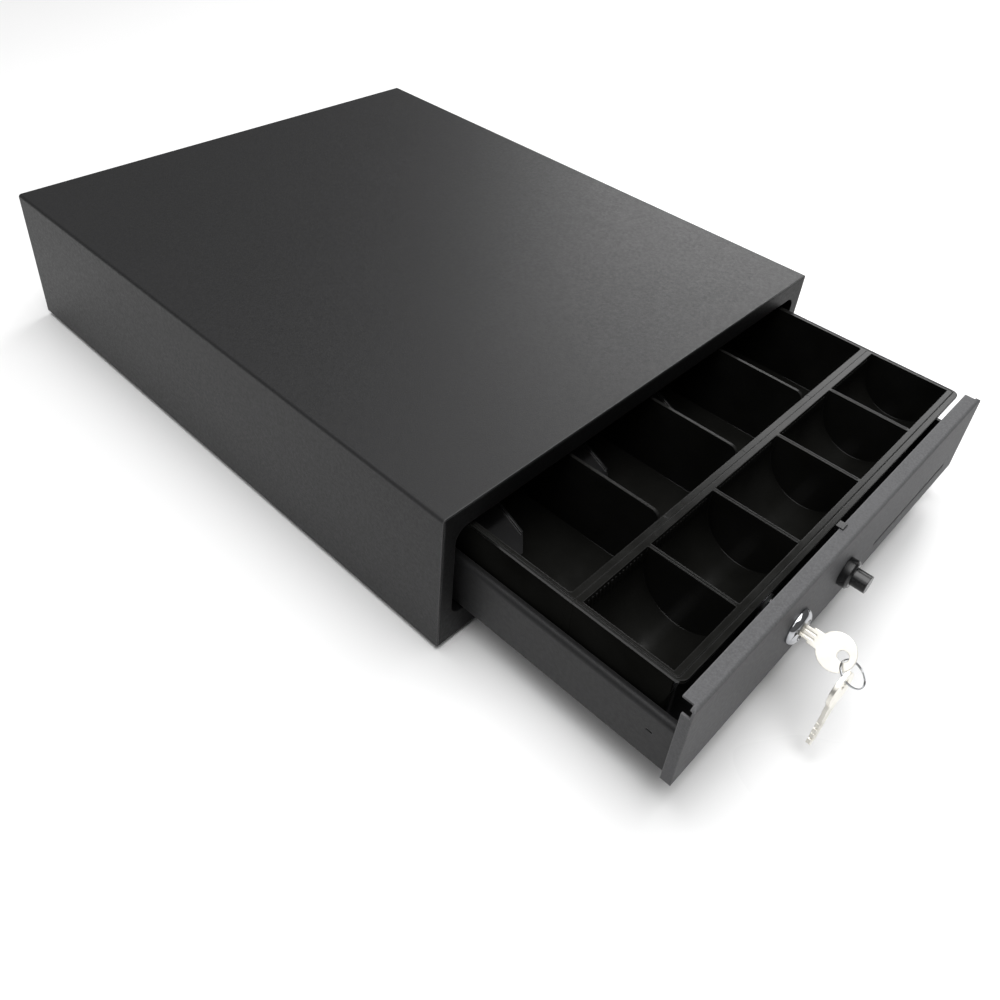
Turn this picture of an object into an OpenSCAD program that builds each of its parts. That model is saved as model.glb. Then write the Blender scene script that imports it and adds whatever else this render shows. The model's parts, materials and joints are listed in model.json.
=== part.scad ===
// Flat steel cash drawer: a fixed housing, a drawer on rollers with a moulded till,
// a cam lock, a push button, and a solenoid latch at the back.
// X is across, to the user's right. Y runs to the back. Z is up.
// The origin is the middle of the fixing holes, on the underside of the base pan.

/* [Housing] */
// Outside width of the housing
housing_w = 330; // [270:1:400]
// Outside depth of the housing
housing_d = 400; // [390:1:480]
// Height from the base pan's underside to the top
housing_h = 90; // [86:1:112]
// Thickness of the steel sheet
sheet = 1.2; // [0.8:0.1:1.6]
// Outer radius of the cover's bends
bend_r = 2; // [1.8:0.1:3]
// Width of the front frame beside the opening
band_side = 9; // [7:0.5:14]
// Height of the front frame above the opening
band_top = 13; // [9:0.5:16]
// Height of the front frame below the opening
band_bottom = 16; // [14:0.5:17]
// Radius of the opening's corners
opening_r = 8; // [4:0.5:12]
// Height of the feet
foot_h = 3; // [2:0.5:8]
// Radius of the fixing holes in the base
fix_hole_r = 2.75; // [2:0.05:3.5]
// Distance between the fixing holes across the base
fix_x = 230; // [160:1:240]
// Distance between the fixing holes along the base
fix_y = 230; // [160:1:260]

/* [Drawer] */
// How far the drawer stands open
opened = 131; // [100:1:140]
// Height of the drawer's underside above the base pan's underside
drawer_z = 18; // [17.5:0.5:20]
// Height of the tray's side walls
side_h = 31; // [26:0.5:36]
// Width of the flange folded in along the top of the side walls
side_flange = 4.5; // [4:0.5:9]
// Gap between the tray and the housing on each side
side_gap = 16.5; // [15.5:0.5:20]
// Gap beside the bezel, inside the opening
bezel_gap = 4; // [2:0.5:6]
// Height of the bezel
bezel_h = 53.5; // [50:0.5:56]
// Radius of the bezel's upper corners
corner_r = 3.5; // [2:0.5:6]
// Depth of the flange along the top of the bezel
bezel_flange = 8.5; // [6:0.5:9]
// Depth of the returns at the ends of the bezel
return_out = 5.5; // [4:0.5:8]
// Length of the storage space behind the till
rear_space = 46; // [30:1:60]

/* [Till] */
// Height of the till's rim above the top of the bezel
till_proud = 1; // [0:0.5:2]
// Width of the till's rim
rim_w = 6; // [5:0.5:8]
// Width of the rim at the sides
rim_side = 3; // [2.5:0.5:5]
// Thickness of the till's walls
wall = 1.7; // [1.4:0.1:2]
// Depth of the coin cups from front to back
cup_d = 49; // [42:1:54]
// Height of the coin cups
cup_h = 35; // [30:0.5:38]
// Relative widths of the coin cups, from left to right
cup_share = [48, 53, 61, 58, 53]; // [40:1:70]
// Thickness of the walls between coin cups
cup_wall = 2.4; // [1.6:0.1:3]
// Number of bill bays
bays = 4; // [3:1:5]
// Length of the bill bays
bay_l = 190; // [156:1:200]
// Height of the bill bays
bay_h = 46.5; // [38:0.5:47]
// Thickness of the ridge between bills and coins
ridge_w = 7; // [5:0.5:10]

/* [Lock and button] */
// Distance of the lock to the left of the middle
lock_x = 55; // [40:1:80]
// Height of the lock and button above the drawer's underside
lock_up = 24; // [22:0.5:26]
// Radius of the lock's ring
ring_r = 10; // [10:0.5:12]
// Radius of the lock's body
lock_r = 8.5; // [8:0.1:9]
// Radius of the lock's plug
plug_r = 6; // [5:0.1:6.5]
// Distance of the button to the left of the middle
button_x = 5; // [0:1:15]
// Radius of the button's collar
collar_r = 8.2; // [6.5:0.1:9]
// Radius of the button
button_r = 5; // [4:0.1:5.5]
// Left end of the media slot, from the middle
slot_x = 36; // [30:1:45]
// Length of the media slot
slot_l = 95; // [60:1:100]
// Height of the media slot's opening
slot_h = 3.2; // [2.5:0.1:4]
// Radius of the key's bow
bow_r = 9.5; // [8:0.5:11]
// Thickness of the key
key_t = 2; // [1.6:0.1:2.2]

/* [Hidden] */
$fn = 48;

// Clearances
loose = 0.3;
seat = 0.2;
running = 0.05;
tiny = 0.01;

// Housing
half_w = housing_w / 2;
front_y = -housing_d / 2;
rear_y = housing_d / 2;
inner_w = half_w - sheet;
lip_w = 12;
return_d = 12;
open_half = half_w - band_side;
open_z0 = band_bottom;
open_z1 = housing_h - band_top;

// Drawer
bezel_y = front_y - opened;
bezel_back = bezel_y + sheet;
bezel_half = open_half - bezel_gap;
bezel_top = drawer_z + bezel_h;
tray_half = half_w - side_gap;
tray_t = 1;
floor_z = drawer_z + tray_t;
side_top = drawer_z + side_h;
fold_r = 3;
till_y0 = bezel_y + 11;
cup_y0 = till_y0 + rim_w + 0.5;
cup_y1 = cup_y0 + cup_d;
bay_y0 = cup_y1 + ridge_w;
bay_y1 = bay_y0 + bay_l;
till_y1 = bay_y1 + rim_w;
tray_y1 = till_y1 + rear_space;
closed_rear = tray_y1 + opened;

// Till
rim_z = bezel_top + till_proud;
rim_t = 2;
rim_r = 4.5;
till_half = tray_half - side_flange - loose - wall + rim_side - 0.5;
till_in = till_half - rim_side;
cup_r = cup_d / 2;
cup_yc = (cup_y0 + cup_y1) / 2;
cup_zc = rim_z - cup_h + cup_r;
bay_z = rim_z - bay_h;
bay_wall = 1.8;
bay_w = (2 * till_in - (bays - 1) * bay_wall) / bays;

// Bill clips
clip_w = 35;
clip_t = 1.5;
clip_r = 3.2;
clip_pin_r = 1.5;
clip_y = bay_y1 - 9;
clip_z = rim_z - 9;
clip_l = 128;
clip_foot_z = bay_z + 4;
clip_bend = 240;

// Rollers and rails
roller_r = 6;
roller_w = 8;
axle_r = 1.5;
front_roller_y = front_y + 22;
front_roller_x = tray_half - 9;
front_roller_z = drawer_z - loose - roller_r;
rail_y0 = front_y + return_d + 2;
rail_y1 = rear_y - 50;
rail_w = side_gap - sheet - seat - 2;
rail_in_h = 2 * (roller_r + loose);
rail_z = drawer_z + 6;
rear_roller_z = rail_z + sheet + rail_in_h / 2;
rear_roller_y = tray_y1 - 12;
rear_roller_x = tray_half + 2;
rivet_y = [rail_y0 + 25, (rail_y0 + rail_y1) / 2, rail_y1 - 25];

// Lock and keys
lock_z = drawer_z + lock_up;
ring_t = 4.3;
dome_r = 3.9;
lock_l = 15;
plug_end = bezel_y + lock_l + loose;
cam_l = 29;
cam_w = 10;
cam_t = 1.6;
key_turn = 45;
keyway_w = key_t + 0.3;
keyway_h = 7;
blade_h = 6.4;
blade_l = 15;
bow_y = bezel_y - 21.5;
hole_off = 3.5;
hole_y = bow_y - hole_off;
hole_r = 2.8;
wire_r = 0.6;
hang = hole_r - wire_r - 2 * loose;

// Split ring: it leans out and down from the key, twists a little, and carries the spare key
loop_r = 7;
loop_lean = 30;
loop_twist = 35;
loop_at = 350;
loop_n = [-sin(key_turn), 0, cos(key_turn)];
loop_d = [-sin(loop_lean) * cos(key_turn), -cos(loop_lean), -sin(loop_lean) * sin(key_turn)];
loop_m = cos(loop_twist) * loop_n + sin(loop_twist) * cross(loop_d, loop_n);
loop_axis = cross(loop_d, loop_m);
loop_top = [-lock_x, hole_y, lock_z] + hang * loop_d;
loop_c = loop_top + loop_r * loop_d;
loop_low = loop_c + loop_r * (cos(loop_at) * loop_m - sin(loop_at) * loop_d);

// Spare key: it hangs from the ring, a little off upright
spare_l = 37;
spare_tilt = 22;
spare_twist = 95;
spare_hole = loop_low + hang * [-sin(spare_tilt), 0, -cos(spare_tilt)];

// Button
button_z = lock_z;
button_out = 13.5;
collar_out = 5.5;
button_body = 12;

// Latch at the back
hook_x = 22;
hook_y = closed_rear + 33;
hook_z = 37;
hook_t = 3;
pin_r = 3;
tail_l = 22;
deck_z = 28;
deck_t = 1.5;
striker_l = 18;
solenoid_w = 20;
solenoid_l = 27;
solenoid_h = 18;
hook_open = 18;
stroke = tail_l * tan(hook_open);
solenoid_y = hook_y + 14;
solenoid_z = hook_z + hook_t / 2;

// A block between two corners
module block(x0, x1, y0, y1, z0, z1) {
    translate([x0, y0, z0])
        cube([x1 - x0, y1 - y0, z1 - z0]);
}

// A rectangle with round corners, from one corner to the other
module round_rect(x0, x1, y0, y1, r) {
    translate([x0 + r, y0])
        square([x1 - x0 - 2 * r, y1 - y0]);
    translate([x0, y0 + r])
        square([x1 - x0, y1 - y0 - 2 * r]);
    for (x = [x0 + r, x1 - r], y = [y0 + r, y1 - r])
        translate([x, y])
            circle(r);
}

// Stands a drawing of X and Z up and extrudes it along Y
module along_y(y0, y1) {
    translate([0, y1, 0])
        rotate([90, 0, 0])
            linear_extrude(y1 - y0)
                children();
}

// Stands a drawing of Y and Z up and extrudes it along X
module along_x(x0, x1) {
    translate([x0, 0, 0])
        rotate([90, 0, 90])
            linear_extrude(x1 - x0)
                children();
}

// A straight round bar along X, Y or Z
module bar_x(x0, x1, y, z, r) {
    translate([x0, y, z])
        rotate([0, 90, 0])
            cylinder(h = x1 - x0, r = r);
}

module bar_y(x, y0, y1, z, r) {
    translate([x, y0, z])
        rotate([-90, 0, 0])
            cylinder(h = y1 - y0, r = r);
}

module bar_z(x, y, z0, z1, r) {
    translate([x, y, z0])
        cylinder(h = z1 - z0, r = r);
}

// Top and both sides of the housing, bent from one sheet, with lips turned in at the bottom
module top_cover() {
    color([0.16, 0.16, 0.17]) {
        along_y(front_y, rear_y)
            difference() {
                union() {
                    translate([-half_w, 0])
                        square([housing_w, housing_h - bend_r]);
                    translate([-half_w + bend_r, housing_h - bend_r - tiny])
                        square([housing_w - 2 * bend_r, bend_r + tiny]);
                    for (x = [-1, 1])
                        translate([x * (half_w - bend_r), housing_h - bend_r])
                            circle(bend_r);
                }
                translate([-inner_w, -1])
                    square([2 * inner_w, housing_h - sheet + 1]);
            }
        for (x = [-inner_w - tiny, inner_w - lip_w])
            block(x, x + lip_w + tiny, front_y + 2 * sheet, rear_y - 2 * sheet, sheet + seat, 2 * sheet + seat);
    }
}

// Flat base with the fixing holes and the turned up front edge
module base_pan() {
    color([0.13, 0.13, 0.14])
        difference() {
            union() {
                block(-inner_w + seat, inner_w - seat, front_y + sheet + seat, rear_y - sheet - seat, 0, sheet);
                block(-inner_w + lip_w + 1, inner_w - lip_w - 1, front_y + sheet + seat,
                    front_y + 2 * sheet + seat, sheet - tiny, band_bottom - sheet - seat);
            }
            for (x = [-1, 1], y = [-1, 1])
                bar_z(x * fix_x / 2, y * fix_y / 2, -1, sheet + 1, fix_hole_r);
        }
}

// Front frame: a flat ring with the opening's edge folded back
module front_frame() {
    color([0.12, 0.12, 0.13]) {
        difference() {
            along_y(front_y, front_y + sheet)
                translate([-inner_w + seat, 0])
                    square([2 * (inner_w - seat), housing_h - sheet - seat]);
            along_y(front_y - 1, front_y + sheet + 1)
                round_rect(-open_half, open_half, open_z0, open_z1, opening_r);
        }
        difference() {
            along_y(front_y + sheet - tiny, front_y + return_d)
                round_rect(-open_half - sheet, open_half + sheet, open_z0 - sheet, open_z1 + sheet,
                    opening_r + sheet);
            along_y(front_y, front_y + return_d + 1)
                round_rect(-open_half, open_half, open_z0, open_z1, opening_r);
        }
    }
}

// Back of the housing, with the socket's window and a row of vents
module rear_panel() {
    color([0.13, 0.13, 0.14])
        difference() {
            block(-inner_w + seat, inner_w - seat, rear_y - sheet, rear_y, 0, housing_h - sheet - seat);
            block(-socket_x - socket_w / 2, -socket_x + socket_w / 2, rear_y - sheet - 1, rear_y + 1,
                socket_z, socket_z + socket_h);
            for (i = [0 : 7])
                block(20 + 12 * i, 20 + 12 * i + 6, rear_y - sheet - 1, rear_y + 1, 50, 72);
        }
}

// Signal socket set in the rear panel
socket_x = 100;
socket_w = 16;
socket_h = 15;
socket_z = 24;
module port_socket() {
    color([0.08, 0.08, 0.08])
        difference() {
            union() {
                block(-socket_x - socket_w / 2 + seat, -socket_x + socket_w / 2 - seat,
                    rear_y - 17, rear_y + 0.5, socket_z + seat, socket_z + socket_h - seat);
                block(-socket_x - socket_w / 2 - 2, -socket_x + socket_w / 2 + 2,
                    rear_y - sheet - 1.6, rear_y - sheet - seat / 2, socket_z - 2, socket_z + socket_h + 2);
            }
            block(-socket_x - 5.8, -socket_x + 5.8, rear_y - 13, rear_y + 2, socket_z + 4, socket_z + 11);
            block(-socket_x - 2, -socket_x + 2, rear_y - 13, rear_y + 2, socket_z + 10, socket_z + 13);
        }
}

// A rail is a channel, open towards the drawer, on the side of the housing
module rail_shape(side) {
    outer = inner_w - seat;
    difference() {
        block(side < 0 ? -outer : outer - rail_w, side < 0 ? -outer + rail_w : outer,
            rail_y0, rail_y1, rail_z, rail_z + rail_in_h + 2 * sheet);
        block(side < 0 ? -outer + sheet : outer - rail_w - 1, side < 0 ? -outer + rail_w + 1 : outer - sheet,
            rail_y0 - 1, rail_y1 + 1, rail_z + sheet, rail_z + sheet + rail_in_h);
        for (y = rivet_y)
            bar_x(side * outer - 3, side * outer + 3, y, rear_roller_z, 1.25);
    }
}

module left_rail() {
    color([0.62, 0.63, 0.65])
        rail_shape(-1);
}

module right_rail() {
    color([0.62, 0.63, 0.65])
        rail_shape(1);
}

// Rivets that hold the rails to the cover's sides
module rail_rivets() {
    color([0.6, 0.6, 0.62])
        for (x = [-1, 1], y = rivet_y)
            translate([x * (inner_w - seat - sheet), y, rear_roller_z])
                rotate([0, -x * 90, 0]) {
                    cylinder(h = 0.8, r = 2.4);
                    translate([0, 0, -sheet])
                        cylinder(h = sheet + tiny, r = 1.2);
                }
}

// Brackets and stub axles of the two front rollers
module front_axles() {
    color([0.6, 0.6, 0.62])
        for (s = [-1, 1]) {
            x = s * (front_roller_x - roller_w / 2 - 1.4);
            block(x - 0.8, x + 0.8, front_roller_y - 6, front_roller_y + 6, sheet, front_roller_z + 3.5);
            block(min(x, x - s * 9), max(x, x - s * 9), front_roller_y - 6, front_roller_y + 6,
                sheet, 2 * sheet);
            bar_x(min(x, x + s * (roller_w + 1.9)), max(x, x + s * (roller_w + 1.9)),
                front_roller_y, front_roller_z, axle_r);
        }
}

// A plain roller with its bore
module roller(x, y, z) {
    color([0.85, 0.85, 0.83])
        difference() {
            bar_x(x - roller_w / 2, x + roller_w / 2, y, z, roller_r);
            bar_x(x - roller_w, x + roller_w, y, z, axle_r + running);
        }
}

module front_roller_left() {
    roller(-front_roller_x, front_roller_y, front_roller_z);
}

module front_roller_right() {
    roller(front_roller_x, front_roller_y, front_roller_z);
}

module rear_roller_left() {
    roller(-rear_roller_x - roller_w / 2, rear_roller_y, rear_roller_z);
}

module rear_roller_right() {
    roller(rear_roller_x + roller_w / 2, rear_roller_y, rear_roller_z);
}

// Headed axles riveted through the tray's sides
module drawer_axles() {
    color([0.6, 0.6, 0.62])
        for (s = [-1, 1]) {
            a = s * (tray_half - tray_t - 1);
            b = s * (rear_roller_x + roller_w + 0.6);
            bar_x(min(a, b), max(a, b), rear_roller_y, rear_roller_z, axle_r);
            c = s * (tray_half - tray_t);
            bar_x(min(a, c), max(a, c), rear_roller_y, rear_roller_z, 3);
        }
}

// Round feet under the base
module feet() {
    color([0.07, 0.07, 0.07])
        for (x = [-1, 1], y = [-1, 1])
            bar_z(x * (half_w - 28), y * (rear_y - 32), -foot_h, 0, 8);
}

// Screws from below, through the base pan into the cover's lips
module cover_screws() {
    color([0.5, 0.5, 0.52])
        for (x = [-1, 1], y = [-1, -0.33, 0.33, 1])
            translate([x * (inner_w - lip_w / 2), y * (rear_y - 60), -1.4])
                cylinder(h = 1.4, r = 3);
}

// Deck that carries the latch and the solenoid, on two folded legs
module latch_bracket() {
    x0 = -16;
    x1 = 62;
    y0 = hook_y - 10;
    y1 = rear_y - 3;
    color([0.6, 0.62, 0.6])
        difference() {
            union() {
                block(x0, x1, y0, y1, deck_z, deck_z + deck_t);
                block(x0, x0 + deck_t, y0, y1, sheet, deck_z + tiny);
                block(x1 - deck_t, x1, y0, y1, sheet, deck_z + tiny);
                block(x0 - 12, x0 + tiny, y0, y1, sheet, sheet + deck_t);
                block(x1 - tiny, x1 + 12, y0, y1, sheet, sheet + deck_t);
            }
            bar_z(hook_x, hook_y, deck_z - 1, deck_z + deck_t + 1, pin_r + running);
        }
}

module bracket_screws() {
    color([0.5, 0.5, 0.52])
        for (x = [-22, 68], y = [hook_y, rear_y - 12])
            bar_z(x, y, sheet + deck_t, sheet + deck_t + 2, 3);
}

// Pin of the latch hook, with a head above the hook
module latch_pin() {
    color([0.7, 0.7, 0.72]) {
        bar_z(hook_x, hook_y, deck_z, hook_z + hook_t + 0.4, pin_r);
        bar_z(hook_x, hook_y, hook_z + hook_t + 0.3, hook_z + hook_t + 1.5, pin_r + 2);
    }
}

// Sleeve that lifts the hook to the striker's height
module latch_spacer() {
    color([0.85, 0.85, 0.83])
        difference() {
            bar_z(hook_x, hook_y, deck_z + deck_t, hook_z - 0.2, pin_r + 2);
            bar_z(hook_x, hook_y, deck_z, hook_z, pin_r + running);
        }
}

// Coils of the torsion spring round the sleeve
module latch_spring() {
    color([0.65, 0.65, 0.67])
        for (i = [0 : 3])
            translate([hook_x, hook_y, deck_z + deck_t + 0.6 + 1.3 * i])
                rotate_extrude()
                    translate([pin_r + 2 + 0.75, 0])
                        circle(0.6);
}

// Lever whose tooth holds the striker, drawn pulled clear of it by the solenoid at its tail
module latch_hook() {
    color([0.72, 0.72, 0.74])
        translate([hook_x, hook_y, hook_z])
            rotate([0, 0, hook_open])
            linear_extrude(hook_t)
                difference() {
                    union() {
                        circle(7);
                        polygon([[-3, 6], [-16, -6], [-16, -16.6], [-25, -16.6], [-25, -18],
                            [-20.5, -22.5], [-10, -22.5], [-10, -9], [4, -6]]);
                        translate([0, -4])
                            square([tail_l + 6, 8]);
                    }
                    circle(pin_r + running);
                    translate([tail_l - 3.5, -2.1])
                        square([7, 4.2]);
                }
}

// J-shaped tab on the drawer's back that the hook catches
module latch_striker() {
    color([0.7, 0.7, 0.72]) {
        block(-7, -5.5, tray_y1, tray_y1 + striker_l, hook_z - 4, hook_z + 7);
        block(-7, 2, tray_y1 + striker_l - 1.2, tray_y1 + striker_l, hook_z - 4, hook_z + 7);
        block(-18, -5.5, tray_y1, tray_y1 + 1.2, hook_z - 4, hook_z + 7);
    }
}

// Open steel frame round the solenoid's coil
module solenoid_frame() {
    x0 = hook_x + tail_l - solenoid_w / 2;
    x1 = x0 + solenoid_w;
    z0 = deck_z + deck_t;
    color([0.62, 0.63, 0.65])
        difference() {
            block(x0, x1, solenoid_y, solenoid_y + solenoid_l, z0, z0 + solenoid_h);
            block(x0 + 1.4, x1 - 1.4, solenoid_y + 1.4, solenoid_y + solenoid_l - 1.4, z0 - 1,
                z0 + solenoid_h + 1);
            bar_y(x0 + solenoid_w / 2, solenoid_y - 1, solenoid_y + 2, solenoid_z, 4.4);
        }
}

module solenoid_coil() {
    x = hook_x + tail_l;
    color([0.75, 0.4, 0.15])
        difference() {
            bar_y(x, solenoid_y + 1.6, solenoid_y + solenoid_l - 1.6, solenoid_z, 8.2);
            bar_y(x, solenoid_y, solenoid_y + solenoid_l - 3, solenoid_z, 4.4);
        }
}

// Plunger with a fork and pin round the hook's tail
module solenoid_plunger() {
    x = hook_x + tail_l;
    color([0.72, 0.72, 0.74]) {
        difference() {
            bar_y(x, hook_y - 3.4 + stroke, solenoid_y + solenoid_l - 13 + stroke, solenoid_z, 4.1);
            block(x - 6, x + 6, hook_y - 5 + stroke, hook_y + 8 + stroke, hook_z - loose,
                hook_z + hook_t + loose);
        }
        bar_z(x, hook_y + stroke, hook_z - 1, hook_z + hook_t + 1, 1.5);
    }
}

// Spring ejector: it stands pressed in, its nose just behind the closed drawer
ejector_x = -45;
module ejector_tube() {
    y0 = closed_rear + 8;
    y1 = rear_y - 12;
    color([0.6, 0.62, 0.6]) {
        difference() {
            bar_y(ejector_x, y0, y1, 16, 8);
            bar_y(ejector_x, y0 - 1, y1 - 3, 16, 6);
        }
        block(ejector_x - 12, ejector_x + 12, y0 + 4, y1 - 4, sheet, sheet + 1.5);
        block(ejector_x - 1.2, ejector_x + 1.2, y0 + 4, y1 - 4, sheet, 9);
    }
}

module ejector_plunger() {
    y0 = closed_rear + loose;
    color([0.85, 0.85, 0.83]) {
        bar_y(ejector_x, y0 + 1.5, rear_y - 30, 16, 5.7);
        bar_y(ejector_x, y0, y0 + 2, 16, 7);
    }
}

// Switch that tells whether the drawer is shut, with its lever pressed
module drawer_switch() {
    y0 = closed_rear + 4;
    color([0.1, 0.1, 0.1]) {
        block(-92, -72, y0, y0 + 10, 2 * sheet + 16, 2 * sheet + 22.5);
        block(-92, -72, y0 + 8.6, y0 + 10, sheet, 2 * sheet + 22.5);
        block(-92, -72, y0 + 8.6, y0 + 20, sheet, 2 * sheet);
        block(-91, -74, y0 - 2.4, y0 - 2, 2 * sheet + 17, 2 * sheet + 21.5);
        block(-91, -89.5, y0 - 2.4, y0 + 1, 2 * sheet + 17, 2 * sheet + 21.5);
    }
}

// The tray's section: floor, side walls and the flanges folded in at the top
module tray_section() {
    in_half = tray_half - tray_t;
    lip = tray_half - side_flange;
    difference() {
        union() {
            translate([-tray_half, 0])
                square([2 * tray_half, side_h - fold_r]);
            translate([-tray_half + fold_r, 1])
                square([2 * (tray_half - fold_r), side_h - 1]);
            for (x = [-1, 1])
                translate([x * (tray_half - fold_r), side_h - fold_r])
                    circle(fold_r);
        }
        translate([-in_half, tray_t])
            square([2 * in_half, side_h - tray_t - fold_r]);
        translate([-tray_half + fold_r, tray_t])
            square([2 * (tray_half - fold_r), side_h - 2 * tray_t]);
        for (x = [-1, 1])
            translate([x * (tray_half - fold_r), side_h - fold_r])
                circle(fold_r - tray_t);
        translate([-lip, tray_t])
            square([2 * lip, side_h]);
    }
    for (x = [-lip - tray_t, lip])
        translate([x, side_h - 3.5])
            square([tray_t, 3]);
}

// Folded tray with low sides, a back wall and tabs for the bezel
module drawer_tray() {
    color([0.15, 0.15, 0.16])
        difference() {
            union() {
                translate([0, 0, drawer_z])
                    along_y(bezel_back + 0.6, tray_y1)
                        tray_section();
                block(-tray_half + 0.5, tray_half - 0.5, tray_y1 - tray_t, tray_y1 - tiny,
                    drawer_z + 0.5, side_top - fold_r);
                for (x = [-tray_half, tray_half - 9])
                    block(x, x + 9, bezel_back + 0.6, bezel_back + 0.6 + tray_t, drawer_z, side_top - 4);
            }
            block(-lock_x - cam_l - 2, -lock_x + cam_w / 2 + 3, plug_end - 2, plug_end + cam_t + 3,
                drawer_z - 1, floor_z + 1);
            block(-tray_half - 1, -tray_half + 2, bezel_y + 16, bezel_y + 19.5, drawer_z + 17.5, drawer_z + 18.5);
            for (s = [-1, 1])
                bar_x(s * tray_half - 3, s * tray_half + 3, rear_roller_y, rear_roller_z,
                    axle_r + running);
        }
}

// Section of the bezel: face, top flange and the bend between them
module bezel_section() {
    r = 1.6;
    translate([bezel_y, drawer_z])
        square([sheet, bezel_h - r]);
    translate([bezel_y + r, bezel_top - sheet])
        square([bezel_flange - r, sheet]);
    translate([bezel_y + r, bezel_top - r])
        intersection() {
            difference() {
                circle(r);
                circle(r - sheet);
            }
            translate([-r - 1, 0])
                square(r + 1);
        }
}

// Drawer front with returns at its ends and a foot along the bottom
module bezel() {
    slot_z = drawer_z + 13;
    color([0.3, 0.3, 0.31])
        difference() {
            union() {
                along_x(-bezel_half, bezel_half)
                    bezel_section();
                for (x = [-bezel_half, bezel_half - sheet])
                    block(x, x + sheet, bezel_y, bezel_y + return_out, drawer_z, bezel_top - 5);
                block(-tray_half + 12, tray_half - 12, bezel_y, bezel_y + 13, floor_z, floor_z + sheet);
            }
            for (x = [-1, 1])
                along_y(bezel_y - 1, bezel_y + 4)
                    translate([x * (bezel_half - corner_r), bezel_top - corner_r])
                        difference() {
                            translate([x > 0 ? 0 : -corner_r - 1, 0])
                                square(corner_r + 1);
                            circle(corner_r);
                        }
            for (x = [-bezel_half - 1, bezel_half - 4])
                block(x, x + 5, bezel_y + 2.6, bezel_y + bezel_flange + 1, bezel_top - 5 + tiny,
                    bezel_top + 1);
            bar_y(-lock_x, bezel_y - 1, bezel_back + 1, lock_z, lock_r + 0.1);
            bar_y(-button_x, bezel_y - 1, bezel_back + 1, button_z, collar_r - 1);
            along_y(bezel_y - 1, bezel_back + 1)
                round_rect(slot_x, slot_x + slot_l, slot_z - slot_h / 2, slot_z + slot_h / 2,
                    slot_h / 2 - tiny);
        }
}

module bezel_screws() {
    color([0.5, 0.5, 0.52])
        for (x = [-110, -20, 60, 115])
            bar_z(x, bezel_y + 7, floor_z + sheet, floor_z + sheet + 1.6, 2.8);
}

// Left wall of each coin cup
cup_sum = cup_share[0] + cup_share[1] + cup_share[2] + cup_share[3] + cup_share[4];
cup_room = 2 * till_in - 4 * cup_wall;
function share_before(i) = i == 0 ? 0 : cup_share[i - 1] + share_before(i - 1);
function cup_x(i) = -till_in + cup_room * share_before(i) / cup_sum + i * cup_wall;
function cup_w(i) = cup_room * cup_share[i] / cup_sum;
function bay_x(i) = -till_in + i * (bay_w + bay_wall);

// Trough of the coin cups in section, grown by g
module cup_section(g) {
    translate([cup_yc, cup_zc])
        circle(cup_r + g);
    translate([cup_y0 - g, cup_zc])
        square([cup_d + 2 * g, rim_z - cup_zc]);
}

// One moulding: rim, bill bays, coin cups and the ears of the clips' pins
module till() {
    difference() {
        union() {
            translate([0, 0, rim_z - rim_t])
                linear_extrude(rim_t)
                    round_rect(-till_half, till_half, till_y0, till_y1, rim_r);
            translate([0, 0, bay_z - wall])
                linear_extrude(bay_h + wall - tiny)
                    round_rect(-till_in - wall, till_in + wall, bay_y0 - wall, bay_y1 + wall, 4);
            // Side walls beside the cups, round at their front corners
            translate([0, 0, cup_zc - cup_r - wall])
                linear_extrude(cup_h + wall - tiny)
                    difference() {
                        round_rect(-till_in - wall, till_in + wall, cup_y0 - wall, bay_y0 + 3, 3.5);
                        round_rect(-till_in, till_in, cup_y0, bay_y0 + 6, 2);
                        translate([4 - till_in, cup_y0 - 5])
                            square([2 * till_in - 8, bay_y0 - cup_y0 + 20]);
                    }
            along_x(-till_in - wall, till_in + wall)
                intersection() {
                    cup_section(wall);
                    translate([cup_y0 - wall, 0])
                        square([cup_d + 2 * wall, rim_z - tiny]);
                }
        }
        difference() {
            for (i = [0 : bays - 1])
                translate([0, 0, bay_z])
                    linear_extrude(bay_h + 1)
                        round_rect(bay_x(i), bay_x(i) + bay_w, bay_y0, bay_y1, 2);
            for (i = [0 : bays - 1])
                clip_ears(bay_x(i));
        }
        for (i = [0 : 4])
            along_x(cup_x(i), cup_x(i) + cup_w(i)) {
                cup_section(0);
                translate([cup_y0, rim_z - tiny])
                    square([cup_d, 1]);
            }
        // Bill dividers round down just short of the ridge
        for (i = [1 : bays - 1])
            along_x(bay_x(i) - bay_wall - 1, bay_x(i) + 1) {
                translate([bay_y0, rim_z - 7])
                    square([1.4, 8]);
                difference() {
                    translate([bay_y0 + 1.3, rim_z - 5])
                        square([5.1, 6]);
                    translate([bay_y0 + 6.4, rim_z - 5])
                        circle(5);
                }
            }
        // Fine groove along the coin dividers
        for (i = [1 : 4])
            block(cup_x(i) - cup_wall / 2 - 0.25, cup_x(i) - cup_wall / 2 + 0.25, cup_y0 + 1,
                cup_y1 - 1, rim_z - 0.6, rim_z + 1);
        // Fine groove along the rim
        translate([0, 0, rim_z - 0.5])
            linear_extrude(1)
                difference() {
                    round_rect(-till_half + 1.1, till_half - 1.1, till_y0 + 3, till_y1 - 3, 2);
                    round_rect(-till_half + 1.5, till_half - 1.5, till_y0 + 3.4, till_y1 - 3.4, 1.6);
                }
    }
}

// The moulding is drawn in pieces that meet behind the coin cups and within the bill dividers
module till_coins() {
    color([0.06, 0.06, 0.065])
        intersection() {
            till();
            block(-half_w, half_w, bezel_y, cup_y1 + ridge_w / 2, 0, housing_h);
        }
}

module till_bay(i) {
    color([0.06, 0.06, 0.065])
        intersection() {
            till();
            block(i == 0 ? -half_w : bay_x(i) - bay_wall / 2,
                i == bays - 1 ? half_w : bay_x(i + 1) - bay_wall / 2, cup_y1 + ridge_w / 2, rear_y, 0, housing_h);
        }
}

module till_bay_1() {
    till_bay(0);
}

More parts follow.
